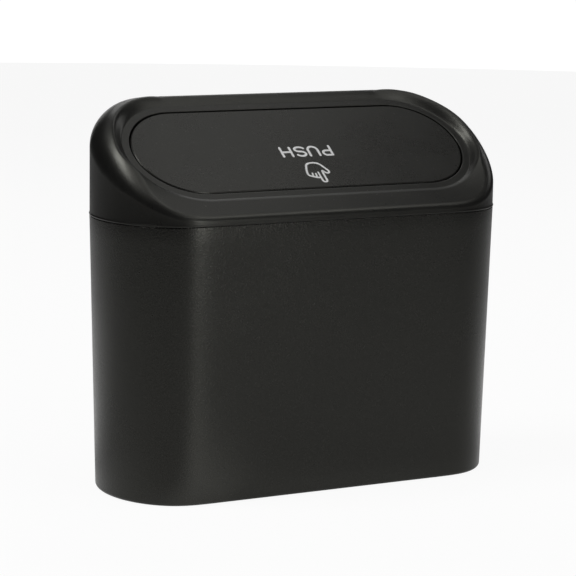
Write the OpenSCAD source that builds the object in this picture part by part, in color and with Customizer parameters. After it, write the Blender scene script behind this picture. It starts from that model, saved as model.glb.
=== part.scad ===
// Small push-to-open bin for a car: a tapered cup with rounded ends, a slanted lid ring
// pressed into its rim, and a flap that a touch latch holds shut and two springs throw open.
// Lengths are in millimetres and angles in degrees. The origin is the middle of the base,
// X runs along the bin, -Y is the low front side and +Z is up.

/* [Bin] */
// Length of the bin at the seam, end to end
bin_length = 185; // [165:1:205]
// Depth of the bin at the seam, front to back
bin_depth = 75.4; // [73:0.2:79]
// Reach of each rounded end along the bin
end_reach = 30.2; // [28:0.2:33]
// Height of the seam between the bin and the lid ring
seam_height = 117; // [100:1:140]
// Lean of the walls from upright
wall_draft = 1.3; // [0.5:0.05:2]
// Wall thickness of the bin
bin_wall = 2; // [1.8:0.1:2.4]
// Thickness of the bin's floor
bin_floor = 2.2; // [1.8:0.1:3]
// Rounding where the walls meet the base
foot_round = 1.6; // [1:0.1:2.4]
// Width of the rim that the bin stands on
foot_rim = 4; // [3:0.5:6]
// Height of the hollow under the floor
foot_hollow = 0.8; // [0.4:0.1:1.2]
// Rounding inside, between the walls and the floor
inner_round = 4; // [2.5:0.5:6]

/* [Lid ring] */
// Slant of the flap and of the lip round it
lid_slant = 34.7; // [33:0.1:36]
// Height of the slanted plane above the seam, at the front wall
front_rise = 3.2; // [2.8:0.1:4]
// Plan distance from the front wall to the opening
front_border = 12.4; // [12:0.1:13.4]
// Plan distance from the back wall to the opening
back_border = 19.9; // [19.5:0.1:20.6]
// Distance from each end wall to the opening
end_border = 13.8; // [13.4:0.1:16]
// Wall thickness of the lid ring
lid_wall = 2; // [1.6:0.1:2.2]
// How far the lid ring stands out past the bin at the seam
overhang = 0.2; // [0:0.05:0.5]
// Rounding of the ring's lower outer edge
seam_round = 0.5; // [0.3:0.1:0.7]
// Shoulder radius at the front
shoulder_front = 4; // [3.6:0.1:4.2]
// Shoulder radius at the ends
shoulder_end = 12.5; // [11:0.5:14]
// Shoulder radius at the back
shoulder_back = 13.2; // [12.8:0.1:13.8]
// Height over the lip of the shoulder's curve at the front
crest_front = 0.35; // [0.2:0.05:0.5]
// Height over the lip of the shoulder's curve at the ends, where its full arc would peak
crest_end = 5; // [4:0.1:5.6]
// Height over the lip of the shoulder's curve at the back, where its full arc would peak
crest_back = 3.4; // [3.2:0.1:3.8]
// Width of the flat lip round the flap
lip_width = 3.2; // [2.8:0.1:3.6]
// Reach of the soft step from the lip up to the shoulder, at the front
step_front = 2.2; // [1.8:0.1:2.6]
// Reach of the soft step at the ends
step_end = 6.3; // [5.9:0.1:6.7]
// Reach of the soft step at the back
step_back = 5.3; // [5:0.1:5.5]
// Rounding of the lip's edge at the opening
lip_round = 0.25; // [0.1:0.05:0.4]
// Depth of the short wall round the opening
collar_depth = 3.4; // [2.6:0.1:3.8]
// Thickness of that wall
collar_wall = 1.6; // [1.2:0.1:2]
// Depth of the skirt that goes into the bin
skirt_depth = 7; // [6.5:0.5:10]
// Thickness of the skirt
skirt_wall = 1.7; // [1.4:0.1:2.2]
// Clearance between the skirt and the bin's wall
skirt_clear = 0.45; // [0.3:0.05:0.5]
// Length of each snap bead on the skirt
bead_length = 12; // [8:1:20]
// Radius of the snap beads
bead_r = 0.9; // [0.8:0.05:1.1]

/* [Flap] */
// Gap between the flap and the lip
flap_gap = 0.7; // [0.5:0.05:0.9]
// Thickness of the flap's panel
flap_wall = 1.9; // [1.6:0.1:2.2]
// Bevel round the flap's upper edge
flap_bevel = 0.4; // [0.2:0.05:0.6]
// Inset of the stiffening rim under the flap
rim_inset = 3; // [2.6:0.1:3.6]
// Depth of that rim below the panel
rim_depth = 2.5; // [1.5:0.1:2.8]
// Thickness of that rim and of the ribs
rib_wall = 1.2; // [1:0.1:1.6]
// Angle by which the flap opens
flap_open = 95; // [80:1:98]
// Angle by which a push sinks the flap
flap_press = 1.5; // [1:0.1:1.8]

/* [Hinge] */
// Distance of the hinge axis behind the flap's back edge
axis_back = 7.8; // [7.7:0.05:8]
// Depth of the hinge axis below the flap's face
axis_drop = 3.1; // [3:0.05:3.2]
// Distance of each hinge arm from the middle of the flap
hinge_x = 29; // [24:1:40]
// Width of a hinge arm
arm_wide = 3; // [2.5:0.1:4]
// Thickness of the arm's curved part
arm_thick = 2.2; // [1.8:0.1:2.4]
// Thickness of the arm's straight part
spoke_thick = 2; // [1.6:0.1:2.2]
// Radius of the arm's eye
eye_r = 2.1; // [1.9:0.05:2.15]
// Radius of a hinge pin
pin_r = 0.9; // [0.8:0.05:1]
// Radial clearance of the arm on its pin
pin_run = 0.06; // [0.03:0.01:0.09]
// Radial clearance of the pin where it is pressed into its lugs
pin_seat = 0.02; // [0.01:0.01:0.04]
// Width of a lug
lug_wide = 3; // [2.5:0.1:4]
// Radius of a lug round the pin
lug_r = 2.3; // [2.1:0.1:2.5]
// Side clearance between lugs, arm and spring
side_gap = 0.4; // [0.3:0.05:0.6]
// Space on the pin for the spring's coils
coil_space = 6; // [5:0.5:8]
// Wire radius of a hinge spring
hinge_wire_r = 0.3; // [0.25:0.05:0.35]
// Mean coil radius of a hinge spring
hinge_coil_r = 1.75; // [1.6:0.05:1.85]
// Number of full turns in a hinge spring
hinge_turns = 5; // [4:1:7]
// Length of the spring's leg along the arm
arm_leg = 6; // [4:0.5:7]
// Slope of the spring's leg that bears on the ring
ring_leg_slope = 10; // [0:1:20]

/* [Touch latch] */
// Width of the latch housing
latch_wide = 14; // [13:0.5:16]
// Height of the latch housing
latch_high = 18.5; // [18:0.5:22]
// Wall thickness of the housing's back and sides
latch_wall = 1.4; // [1:0.1:1.8]
// Thickness of the housing's top and floor
latch_end_wall = 1.3; // [1:0.1:1.6]
// Clear depth inside the housing
latch_hollow = 5.6; // [5.6:0.1:6.4]
// Thickness of the housing's cover
cover_wall = 1.2; // [1:0.1:1.6]
// Distance from the flap's face down to the housing
latch_below = 8.2; // [8.1:0.1:9]
// Thickness of the bracket that carries the latch
bracket_wall = 2.4; // [2:0.1:3]
// Width of the bracket
bracket_wide = 26; // [26:1:32]
// How far the bracket's face stands in from the opening's edge
bracket_inset = 0.8; // [0.5:0.1:1]
// Running clearance of the slider in the housing
slide_clear = 0.3; // [0.2:0.05:0.35]
// Height of the slider's block
block_high = 4; // [3.6:0.1:4.5]
// Height of the slider's jaws
jaw_high = 7.3; // [6:0.1:7.4]
// Thickness of a jaw
jaw_wall = 1.1; // [0.8:0.1:1.2]
// Height of the hook at each jaw's tip
hook_high = 1; // [0.8:0.1:1.4]
// How far each hook reaches inwards
hook_reach = 0.4; // [0.2:0.05:0.5]
// Travel of the slider when the flap is pushed
slider_travel = 1.5; // [1:0.1:1.6]
// Wire radius of the latch spring
latch_wire_r = 0.25; // [0.2:0.05:0.3]
// Mean coil radius of the latch spring
latch_coil_r = 1.7; // [1.6:0.05:1.75]
// Number of turns in the latch spring
latch_turns = 4; // [3:1:5]
// Radius of the post that centres the latch spring
post_r = 1.1; // [0.8:0.1:1.2]
// Length of that post
post_high = 1.6; // [1:0.1:1.8]
// Wire radius of the follower that runs in the slider's track
follower_r = 0.35; // [0.3:0.05:0.4]

/* [Striker] */
// Length of the striker's foot
striker_long = 24; // [23:0.5:26]
// Width of the striker's foot
striker_wide = 5.2; // [4.6:0.1:5.4]
// Thickness of the striker's foot
striker_foot = 1.2; // [1:0.1:1.4]
// Height of the bosses that the striker sits on
boss_high = 3; // [2.8:0.1:3.2]
// Radius of those bosses
boss_r = 2.2; // [2:0.1:2.4]
// Half width of the striker's neck
neck_half = 1.3; // [1:0.1:1.6]
// Half width of the striker's head
head_half = 2.3; // [2:0.1:2.3]
// Height of the striker's head
head_high = 1.6; // [1.2:0.1:2]
// Thickness of the striker's tongue
tongue_thick = 2.6; // [2:0.1:3]
// Length of the tongue below the foot
tongue_long = 8.5; // [7.5:0.1:8.6]

/* [Screws] */
// Distance of the striker's screws from the middle
striker_screw_x = 9.5; // [9.2:0.1:9.8]
// Distance of the latch's screws from the middle
latch_screw_x = 9.7; // [9.5:0.1:10]
// Thread radius of the screws
screw_r = 0.9; // [0.8:0.05:1]
// Radial clearance of a screw in the boss that holds it
thread_clear = 0.03; // [0.02:0.01:0.05]
// Radial clearance of a screw in the piece that it clamps
shank_clear = 0.2; // [0.1:0.05:0.3]
// Head radius of the screws
screw_head_r = 1.7; // [1.5:0.1:1.8]
// Head height of the screws
screw_head = 1; // [0.8:0.1:1.1]
// Thread length of the striker's screws
striker_screw_long = 3.6; // [3:0.1:3.8]
// Thread length of the latch's screws
latch_screw_long = 4; // [3.6:0.1:4.2]

/* [Hidden] */

body_color = "#2a2a28";
ring_color = "#343432";
flap_color = "#3a3a38";
steel_color = "#b9bcc0";
latch_color = "#26272a";
slider_color = "#d8d6cf";

// A small sink that makes two fused shapes share some volume
merge = 0.3;
// Steps of the rounded ends, and facets of exact round features
end_steps = 30;
round_fn = 48;

// The cup: lean of the walls per height, top of the floor, and the angles of its rounded edges
lean = tan(wall_draft);
floor_z = foot_hollow + bin_floor;
turn = [0:22.5:90];

// Half sizes of the plan outline, and the straight run between the rounded ends
half_depth = bin_depth / 2;
half_run = bin_length / 2 - end_reach;

// The slanted plane: its middle, its half sizes and its straight run
lid_y = (front_border - back_border) / 2;
lid_z = seam_height + front_rise + tan(lid_slant) * (lid_y + half_depth);
open_half = (bin_depth - front_border - back_border) / 2 / cos(lid_slant);
open_run = bin_length / 2 - end_border - open_half;
flap_half = open_half - flap_gap;

// The hinge axis in the slanted plane, and the arm's radii round it
axis_v = flap_half + axis_back;
lip_corner = norm([axis_back - flap_gap, axis_drop]);
arm_clear = 0.45;
arm_in = lip_corner + arm_clear;
arm_out = arm_in + arm_thick;
// The arm starts in the panel's underside and ends where the opened flap still clears the collar
arm_start = 180 - asin((axis_drop - flap_wall + merge) / arm_in);
collar_corner = 180 + atan2(collar_depth - axis_drop, axis_back - flap_gap);
spoke_margin = 3;
spoke_angle = collar_corner + flap_open + asin(spoke_thick / 2 / (axis_back - flap_gap)) + spoke_margin;

// The hinge's pieces along the pin, from the middle outwards
inner_lug_x = hinge_x - arm_wide / 2 - side_gap - lug_wide;
coil_x = hinge_x + arm_wide / 2 + side_gap;
outer_lug_x = coil_x + coil_space + side_gap;
pin_from = inner_lug_x;
pin_to = outer_lug_x + lug_wide;
// Middle of the back shoulder's arc in the slanted frame, and the lugs that rise into its shell
shell_w = crest_back - shoulder_back;
shell_v = (half_depth + overhang - shoulder_back - lid_y + shell_w * sin(lid_slant)) / cos(lid_slant);
lug_half = 1.2;
lug_bite = 0.4;
lug_rise = axis_drop + shell_w
    + sqrt(pow(shoulder_back - lug_bite * lid_wall, 2) - pow(axis_v + lug_half - shell_v, 2));

// The touch latch: the bracket's face, the middle of the hollow, and the heights below the flap
bracket_v = -(open_half - bracket_inset);
latch_v = bracket_v + latch_wall + latch_hollow / 2;
latch_top = -latch_below;
latch_base = latch_top - latch_high;
latch_floor = latch_base + latch_end_wall;
hollow_half = latch_wide / 2 - latch_wall;
slider_half = hollow_half - slide_clear;
slider_deep = latch_hollow / 2 - slide_clear;
mouth_rim = 0.9;
mouth_half = hollow_half - mouth_rim;
mouth_deep = latch_hollow / 2 - mouth_rim;
jaw_out = mouth_half - slide_clear;
jaw_in = jaw_out - jaw_wall;
jaw_deep = mouth_deep - slide_clear;
jaw_tip = latch_top - latch_end_wall - slide_clear;
block_top = jaw_tip - jaw_high;
block_base = block_top - block_high;
// How far a push sinks the flap's front edge, and the bracket's top below it
edge_sink = (flap_half + axis_v) * sin(flap_press);
bracket_clear = 0.8;
bracket_top = -(flap_wall + edge_sink + bracket_clear);
ear_thick = 2;
ear_edge = 1.2;
ear_half = screw_head_r + ear_edge;
ear_out = latch_screw_x + ear_half;
ear_w = (latch_top + latch_base) / 2;
bracket_base = ear_w - ear_half - ear_edge;

// The striker under the flap
foot_top = -flap_wall - boss_high;
foot_base = foot_top - striker_foot;
tongue_base = foot_base - tongue_long;

// The follower's wire: a run beside the slider, a tip in the slider's pocket and a foot in the cover
track_clear = 0.25;
follower_v = latch_v + slider_deep + follower_r / 3;
follower_tip = block_top - slider_travel - follower_r - 2 * track_clear;
follower_foot = latch_floor + follower_r + track_clear;
follower_bend = 1.2;
pocket_top = follower_tip + slider_travel + follower_r + track_clear / 2;

// The ring's section: points on its shoulder and inner side, steps of its soft step, and heights of the web
// inside the seam
arc_steps = 8;
inner_steps = 7;
soft_steps = 6;
// The soft step's curve: how much of its reach stays level with the lip, and how much follows the shoulder
foot_share = 0.2;
head_share = 0.42;
head_share_back = 0.2;
web_rise = 3;
skirt_step = 1;
least_r = 0.3;
face = [0, -sin(lid_slant), cos(lid_slant)];

// Where the skirt's faces lie in from the bin's outline
skirt_out = bin_wall + skirt_clear;
skirt_in = skirt_out + skirt_wall;
// The snap beads stand out of the skirt and sit in shallow pockets in the bin's wall
bead_rise = 0.55;
bead_gap = 0.3;
bead_y = half_depth - skirt_out + bead_rise - bead_r;
bead_z = seam_height - skirt_depth + bead_r + 1.2;
bead_x = half_run - bead_length;

function unit(v) = v / norm(v);
function ease(t) = t * t * (3 - 2 * t);
// A size that runs from the front over the ends to the back
function around(u, front, end, back) =
    u < 0.5 ? front + (end - front) * ease(2 * u) : end + (back - end) * ease(2 * u - 1);

// Stations round the outline: [side, angle], right end first, front to back
stations = concat(
    [for (i = [0:end_steps]) [1, -90 + 180 * i / end_steps]],
    [for (i = [0:end_steps]) [-1, 90 - 180 * i / end_steps]]);

// Outward direction and point of the plan outline at a station
function out_dir(st) = unit([st[0] * cos(st[1]) / end_reach, sin(st[1]) / half_depth]);
function plan_point(st, inset) =
    [st[0] * (half_run + end_reach * cos(st[1])), half_depth * sin(st[1])] - out_dir(st) * inset;
function at(p, z) = [p[0], p[1], z];

// Point of the slanted frame, given along, up the slope and out of the face
function slanted(x, v, w) =
    [x, lid_y + v * cos(lid_slant) - w * sin(lid_slant), lid_z + v * sin(lid_slant) + w * cos(lid_slant)];
// Point beside the opening: s outwards from its edge, w out of the face
function lip_point(st, s, w) =
    slanted(st[0] * (open_run + (open_half + s) * cos(st[1])), (open_half + s) * sin(st[1]), w);

// Closed skin over rings of points: faces between ring j and j + 1, and caps unless it loops
module skin(rings, loop = false) {
    n = len(rings[0]);
    m = len(rings);
    last = loop ? m - 1 : m - 2;
    sides = [for (j = [0:last], i = [0:n - 1]) let (
        a = j * n + i, b = j * n + (i + 1) % n,
        c = ((j + 1) % m) * n + (i + 1) % n, d = ((j + 1) % m) * n + i)
        each [[a, d, c], [a, c, b]]];
    caps = loop ? [] : [[for (i = [0:n - 1]) i], [for (i = [n - 1:-1:0]) (m - 1) * n + i]];
    polyhedron([for (r = rings) each r], concat(sides, caps), convexity = 8);
}

// Round wire along a path of points; each section is turned on from the last, so the wire isn't twisted
module wire(path, r, sides = 8) {
    n = len(path);
    way = [for (k = [0:n - 1]) unit(path[min(k + 1, n - 1)] - path[max(k - 1, 0)])];
    start = unit(cross(way[0], abs(way[0][0]) < 0.7 ? [1, 0, 0] : [0, 1, 0]));
    turned = [for (k = 0, v = start; k < n; k = k + 1, v = k < n ? unit(v - (v * way[k]) * way[k]) : v) v];
    skin([for (k = [0:n - 1]) let (up = cross(way[k], turned[k]))
        [for (i = [0:sides - 1])
            path[k] + r * (cos(360 * i / sides) * turned[k] + sin(360 * i / sides) * up)]]);
}

// Places its children in the slanted frame, or at the hinge axis
module in_lid() {
    translate([0, lid_y, lid_z]) rotate([lid_slant, 0, 0]) children();
}
module at_axis() {
    in_lid() translate([0, axis_v, -axis_drop]) children();
}
// Turns a shape drawn in the plane and raised along Z so that it runs along X
module along_x() {
    rotate([90, 0, 90]) children();
}
// Sweeps a profile, drawn as distance and height, round a shape with straight sides and round ends
module race(run) {
    for (s = [0, 180])
        rotate([0, 0, s]) {
            translate([run, 0, 0]) rotate([0, 0, -90]) rotate_extrude(angle = 180, $fn = 2 * round_fn) children();
            along_x() linear_extrude(2 * run, center = true) children();
        }
}

// The snap beads, or with room round them their pockets
module beads(room) {
    for (s = [-1, 1], x = [-bead_x, bead_x])
        translate([x, s * bead_y, bead_z]) along_x()
            cylinder(r = bead_r + room, h = bead_length + 2 * room, center = true, $fn = round_fn);
}

// The cup: rings of the outline from the hollow base up the outside and down the inside
function leaning(z) = lean * (seam_height - z);
function ring_at(inset, z) = [for (st = stations) at(plan_point(st, inset), z)];
module bin_body() {
    rings = concat(
        [ring_at(leaning(0) + foot_rim + foot_hollow, foot_hollow),
         ring_at(leaning(0) + foot_rim, 0)],
        [for (a = turn) ring_at(leaning(foot_round) + foot_round * (1 - sin(a)), foot_round * (1 - cos(a)))],
        [ring_at(leaning(seam_height - seam_round), seam_height - seam_round),
         ring_at(seam_round, seam_height),
         ring_at(bin_wall, seam_height)],
        [for (a = turn)
            ring_at(leaning(floor_z + inner_round) + bin_wall + inner_round * (1 - cos(a)),
                floor_z + inner_round * (1 - sin(a)))]);
    color(body_color) difference() {
        skin(rings);
        beads(bead_gap);
    }
}

// Direction on the way from a to b, both of length one
function toward(a, b, t) = let (w = acos(a * b)) (sin((1 - t) * w) * a + sin(t * w) * b) / sin(w);
// The way on along the same arc, up and in
function along_arc(a, b, t) = let (w = acos(a * b)) cos(t * w) * b - cos((1 - t) * w) * a;
// A cubic curve from 0 to end with two guide values between
function bezier(near, far, end, t) =
    3 * t * (1 - t) * (1 - t) * near + 3 * t * t * (1 - t) * far + t * t * t * end;
// Where the shoulder arc round c comes level with point k, seen along m
function arc_end(c, r, a, b, k, m, lo = 0, hi = 1, n = 14) =
    n == 0 ? hi :
    let (mid = (lo + hi) / 2)
    (c + r * toward(a, b, mid) - k) * m > 0
        ? arc_end(c, r, a, b, k, m, mid, hi, n - 1)
        : arc_end(c, r, a, b, k, m, lo, mid, n - 1);

// One section of the lid ring, from the seam over shoulder, soft step, lip and collar and back inside to the
// skirt
function lid_section(st) =
    let (
        n2 = out_dir(st),
        n3 = at(n2, 0),
        q = plan_point(st, -overhang),
        u = (q[1] / (half_depth + overhang) + 1) / 2,
        r = around(u, shoulder_front, shoulder_end, shoulder_back),
        h = around(u, crest_front, crest_end, crest_back),
        c2 = q - n2 * r,
        c = at(c2, lid_z + tan(lid_slant) * (c2[1] - lid_y) + (h - r) / cos(lid_slant)),
        reach = around(u, step_front, step_end, step_back),
        k = lip_point(st, lip_width + reach, 0),
        m = lip_point(st, 1, 0) - lip_point(st, 0, 0),
        flat = (c + r * face - k) * m > 0,
        t_end = flat ? 1 : arc_end(c, r, n3, face, k, m),
        t_arc = flat ? 1 : t_end * (arc_steps - 1) / arc_steps,
        ridge = (c + r * toward(n3, face, t_end) - k) * face,
        climb = along_arc(n3, face, t_end),
        head = reach * around(u, head_share, head_share, head_share_back),
        crown = ridge - head * (climb * face) / (climb * m),
        r_in = max(r - lid_wall, least_r),
        web_z = min(seam_height + web_rise, c[2] - least_r / 3))
    concat(
        [at(plan_point(st, seam_round - overhang), seam_height),
         at(plan_point(st, seam_round * 0.3 - overhang), seam_height + seam_round * 0.3),
         at(q, seam_height + seam_round)],
        [for (i = [0:arc_steps - 1]) c + r * toward(n3, face, t_arc * i / (arc_steps - 1))],
        [for (i = [soft_steps:-1:0]) let (t = i / soft_steps)
            lip_point(st, lip_width + bezier(foot_share * reach, reach - head, reach, t),
                bezier(0, crown, ridge, t))],
        [lip_point(st, lip_round, 0),
         lip_point(st, 0, -lip_round),
         lip_point(st, 0, -collar_depth),
         lip_point(st, collar_wall, -collar_depth),
         lip_point(st, collar_wall, -lid_wall),
         lip_point(st, lip_width, -lid_wall)],
        [for (i = [inner_steps - 1:-1:0]) c + r_in * toward(n3, face, t_end * i / (inner_steps - 1))],
        [at(plan_point(st, lid_wall - overhang), web_z),
         at(plan_point(st, skirt_in), seam_height + skirt_step),
         at(plan_point(st, skirt_in), seam_height - skirt_depth),
         at(plan_point(st, skirt_out), seam_height - skirt_depth),
         at(plan_point(st, skirt_out), seam_height)]);

// A lug that carries a hinge pin, from x outwards
module lug(x) {
    at_axis() translate([x, 0, 0]) along_x() difference() {
        union() {
            cylinder(r = lug_r, h = lug_wide, $fn = round_fn);
            translate([-lug_half, 0, 0]) cube([2 * lug_half, lug_rise, lug_wide]);
        }
        translate([0, 0, -1]) cylinder(r = pin_r + pin_seat, h = lug_wide + 2, $fn = round_fn);
    }
}

// The bracket that carries the latch, under the lip at the front
module bracket() {
    neck_in = 0.15;
    neck_out = 1.5;
    in_lid() difference() {
        union() {
            translate([-bracket_wide / 2, bracket_v - bracket_wall, bracket_base])
                cube([bracket_wide, bracket_wall, bracket_top - bracket_base]);
            translate([-bracket_wide / 2 + merge, -open_half - neck_out, bracket_top - neck_out])
                cube([bracket_wide - 2 * merge, neck_out - neck_in, -bracket_top + neck_out - lid_wall / 2]);
        }
        for (s = [-1, 1])
            translate([s * latch_screw_x, bracket_v + 1, ear_w]) rotate([90, 0, 0])
                cylinder(r = screw_r + thread_clear, h = bracket_wall + 2, $fn = round_fn);
    }
}

module lid_ring() {
    sections = [for (st = stations) lid_section(st)];
    color(ring_color) union() {
        skin([for (j = [0:len(sections[0]) - 1]) [for (s = sections) s[j]]], loop = true);
        for (s = [0, 1]) mirror([s, 0, 0]) {
            lug(inner_lug_x);
            lug(outer_lug_x);
        }
        bracket();
        beads(0);
    }
}

// A hinge arm: a curved part that passes round the lip, and a straight part to the eye on the pin
module hinge_arm() {
    spoke_from = (pin_r + pin_run + eye_r) / 2;
    at_axis() translate([hinge_x - arm_wide / 2, 0, 0]) along_x() difference() {
        union() {
            rotate([0, 0, arm_start]) rotate_extrude(angle = spoke_angle - arm_start, $fn = 2 * round_fn)
                translate([arm_in, 0]) square([arm_thick, arm_wide]);
            rotate([0, 0, spoke_angle]) translate([spoke_from, -spoke_thick / 2, 0])
                cube([arm_out - merge - spoke_from, spoke_thick, arm_wide]);
            cylinder(r = eye_r, h = arm_wide, $fn = round_fn);
        }
        translate([0, 0, -1]) cylinder(r = pin_r + pin_run, h = arm_wide + 2, $fn = round_fn);
    }
}

module flap() {
    rib_half = flap_half - rim_inset - rib_wall / 2;
    bore_room = 0.3;
    bore_deep = striker_screw_long - striker_foot + bore_room;
    color(flap_color) difference() {
        union() {
            in_lid() {
                race(open_run) polygon([
                    [0, -flap_wall], [flap_half, -flap_wall], [flap_half, -flap_bevel],
                    [flap_half - flap_bevel, 0], [0, 0]]);
                race(open_run) translate([flap_half - rim_inset - rib_wall, -flap_wall - rim_depth])
                    square([rib_wall, rim_depth + merge]);
                for (x = [-open_run, -hinge_x, hinge_x, open_run])
                    translate([x - rib_wall / 2, -rib_half, -flap_wall - rim_depth + merge])
                        cube([rib_wall, 2 * rib_half, rim_depth]);
                for (s = [-1, 1]) translate([s * striker_screw_x, latch_v, foot_top])
                    cylinder(r = boss_r, h = boss_high + merge, $fn = round_fn);
            }
            for (s = [0, 1]) mirror([s, 0, 0]) hinge_arm();
        }
        in_lid() for (s = [-1, 1]) translate([s * striker_screw_x, latch_v, foot_top - 1])
            cylinder(r = screw_r + thread_clear, h = bore_deep + 1, $fn = round_fn);
    }
}

module hinge_pin() {
    color(steel_color) at_axis() translate([pin_from, 0, 0]) along_x()
        cylinder(r = pin_r, h = pin_to - pin_from, $fn = round_fn);
}

// A hinge spring: coils round the pin, a leg hooked behind the arm, a leg under the ring's shell
function polar(x, r, a) = [x, r * cos(a), r * sin(a)];
module hinge_spring() {
    end_room = 0.1;
    leg_room = 0.35;
    step = 22.5;
    from_x = coil_x + hinge_wire_r + end_room;
    to_x = coil_x + coil_space - hinge_wire_r - end_room;
    from_a = spoke_angle + 90;
    to_a = ring_leg_slope - 90;
    swept = 360 * hinge_turns - (from_a - to_a) % 360;
    coils = ceil(swept / step);
    first = polar(from_x, hinge_coil_r, from_a);
    last = polar(to_x, hinge_coil_r, to_a);
    hook = polar(0, arm_leg, spoke_angle);
    reach = [hinge_x - from_x, 0, 0];
    // The leg under the shell ends just short of the inside of the back shoulder
    shell_r = shoulder_back - lid_wall;
    from_shell = [last[1] - (shell_v - axis_v), last[2] - (shell_w + axis_drop)];
    along = [cos(ring_leg_slope), sin(ring_leg_slope)];
    b = from_shell * along;
    ring_leg = sqrt(b * b - from_shell * from_shell + shell_r * shell_r) - b - hinge_wire_r - leg_room;
    path = concat(
        [first + hook + reach, first + hook + reach * 0.15, first + hook * 0.95, first + hook * 0.1],
        [for (i = [0:coils]) polar(from_x + (to_x - from_x) * i / coils, hinge_coil_r, from_a + swept * i / coils)],
        [last + [0, along[0], along[1]] * ring_leg]);
    color(steel_color) at_axis() wire(path, hinge_wire_r);
}

// A small pan-head screw, head up, with its seat at the origin and a cross slot
module screw(long) {
    slot = 0.5;
    difference() {
        union() {
            translate([0, 0, -long]) cylinder(r = screw_r, h = long + merge, $fn = round_fn);
            cylinder(r = screw_head_r, h = screw_head, $fn = round_fn);
        }
        for (a = [0, 90]) rotate([0, 0, a]) translate([-screw_head_r * 0.6, -slot / 2, screw_head - slot])
            cube([screw_head_r * 1.2, slot, slot + 1]);
    }
}
module striker_screw() {
    color(steel_color) in_lid() translate([striker_screw_x, latch_v, foot_base]) rotate([180, 0, 0])
        screw(striker_screw_long);
}
module latch_screw() {
    color(steel_color) in_lid() translate([latch_screw_x, bracket_v + ear_thick, ear_w]) rotate([-90, 0, 0])
        screw(latch_screw_long);
}

// The striker: a foot screwed under the flap and a tongue with a wider head
module striker() {
    color(latch_color) in_lid() translate([0, latch_v, 0]) difference() {
        union() {
            translate([-striker_long / 2, -striker_wide / 2, foot_base]) cube([striker_long, striker_wide, striker_foot]);
            translate([-neck_half, -tongue_thick / 2, tongue_base]) cube([2 * neck_half, tongue_thick, tongue_long + merge]);
            rotate([90, 0, 0]) linear_extrude(tongue_thick, center = true) polygon([
                [-neck_half, tongue_base], [neck_half, tongue_base],
                [head_half, tongue_base + head_high / 2], [head_half, tongue_base + head_high],
                [-head_half, tongue_base + head_high], [-head_half, tongue_base + head_high / 2]]);
        }
        for (s = [-1, 1]) translate([s * striker_screw_x, 0, foot_base - 1])
            cylinder(r = screw_r + shank_clear, h = striker_foot + 2, $fn = round_fn);
    }
}

// The latch's case: back, sides, top with its mouth, floor, and an ear on each side
module latch_housing() {
    deep = latch_wall + latch_hollow;
    color(latch_color) in_lid() difference() {
        union() {
            translate([-latch_wide / 2, bracket_v, latch_base]) cube([latch_wide, deep, latch_high]);
            translate([-ear_out, bracket_v, ear_w - ear_half]) cube([2 * ear_out, ear_thick, 2 * ear_half]);
        }
        translate([-hollow_half, bracket_v + latch_wall, latch_floor])
            cube([2 * hollow_half, latch_hollow + 1, latch_high - 2 * latch_end_wall]);
        translate([-mouth_half, latch_v - mouth_deep, latch_top - latch_end_wall - 1])
            cube([2 * mouth_half, 2 * mouth_deep, latch_end_wall + 2]);
        for (s = [-1, 1]) translate([s * latch_screw_x, bracket_v + ear_thick + 1, ear_w]) rotate([90, 0, 0])
            cylinder(r = screw_r + shank_clear, h = ear_thick + 2, $fn = round_fn);
    }
}

// The cover over the latch's open side, with a groove and a hole for the follower
module latch_cover() {
    face_v = latch_v + latch_hollow / 2;
    groove_half = follower_r + track_clear;
    groove_deep = follower_v + follower_r + track_clear - face_v;
    color(latch_color) in_lid() difference() {
        translate([-latch_wide / 2, face_v, latch_base]) cube([latch_wide, cover_wall, latch_high]);
        translate([-groove_half, face_v - 1, latch_floor]) cube([2 * groove_half, groove_deep + 1, latch_high / 2]);
        translate([0, face_v - 1, follower_foot]) rotate([-90, 0, 0])
            cylinder(r = follower_r + thread_clear, h = cover_wall + 2, $fn = round_fn);
    }
}

// The slider: a block with two jaws, a post for the spring and a track for the follower
module latch_slider() {
    track_half = follower_r + track_clear;
    track_floor = follower_v - follower_r - track_clear;
    pocket_floor = follower_v - follower_bend - track_clear;
    color(slider_color) in_lid() difference() {
        union() {
            translate([-slider_half, latch_v - slider_deep, block_base]) cube([2 * slider_half, 2 * slider_deep, block_high]);
            for (s = [0, 1]) mirror([s, 0, 0]) translate([0, latch_v - jaw_deep, 0]) {
                translate([jaw_in, 0, block_top - merge]) cube([jaw_wall, 2 * jaw_deep, jaw_high + merge]);
                translate([jaw_in - hook_reach, 0, jaw_tip - hook_high]) cube([hook_reach + merge, 2 * jaw_deep, hook_high]);
            }
            translate([0, latch_v, block_base - post_high]) cylinder(r = post_r, h = post_high + merge, $fn = round_fn);
        }
        translate([-track_half, track_floor, block_base - 1]) cube([2 * track_half, latch_hollow, pocket_top - block_base + 1]);
        translate([-track_half, pocket_floor, block_base + merge])
            cube([2 * track_half, latch_hollow, pocket_top - block_base - merge]);
    }
}

module latch_spring() {
    touch = 0.03;
    step = 22.5;
    from_w = latch_floor + latch_wire_r + touch;
    to_w = block_base - latch_wire_r - touch;
    coils = latch_turns * 360 / step;
    color(steel_color) in_lid() translate([0, latch_v, 0])
        wire([for (i = [0:coils]) [latch_coil_r * cos(i * step), latch_coil_r * sin(i * step), from_w + (to_w - from_w) * i / coils]],
            latch_wire_r);
}

module latch_follower() {
    bend = follower_r * 0.7;
    color(steel_color) in_lid() wire([
        [0, follower_v + follower_bend, follower_foot], [0, follower_v + bend, follower_foot],
        [0, follower_v, follower_foot + bend], [0, follower_v, follower_tip - bend],
        [0, follower_v - bend, follower_tip], [0, follower_v - follower_bend, follower_tip]], follower_r);
}

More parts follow.
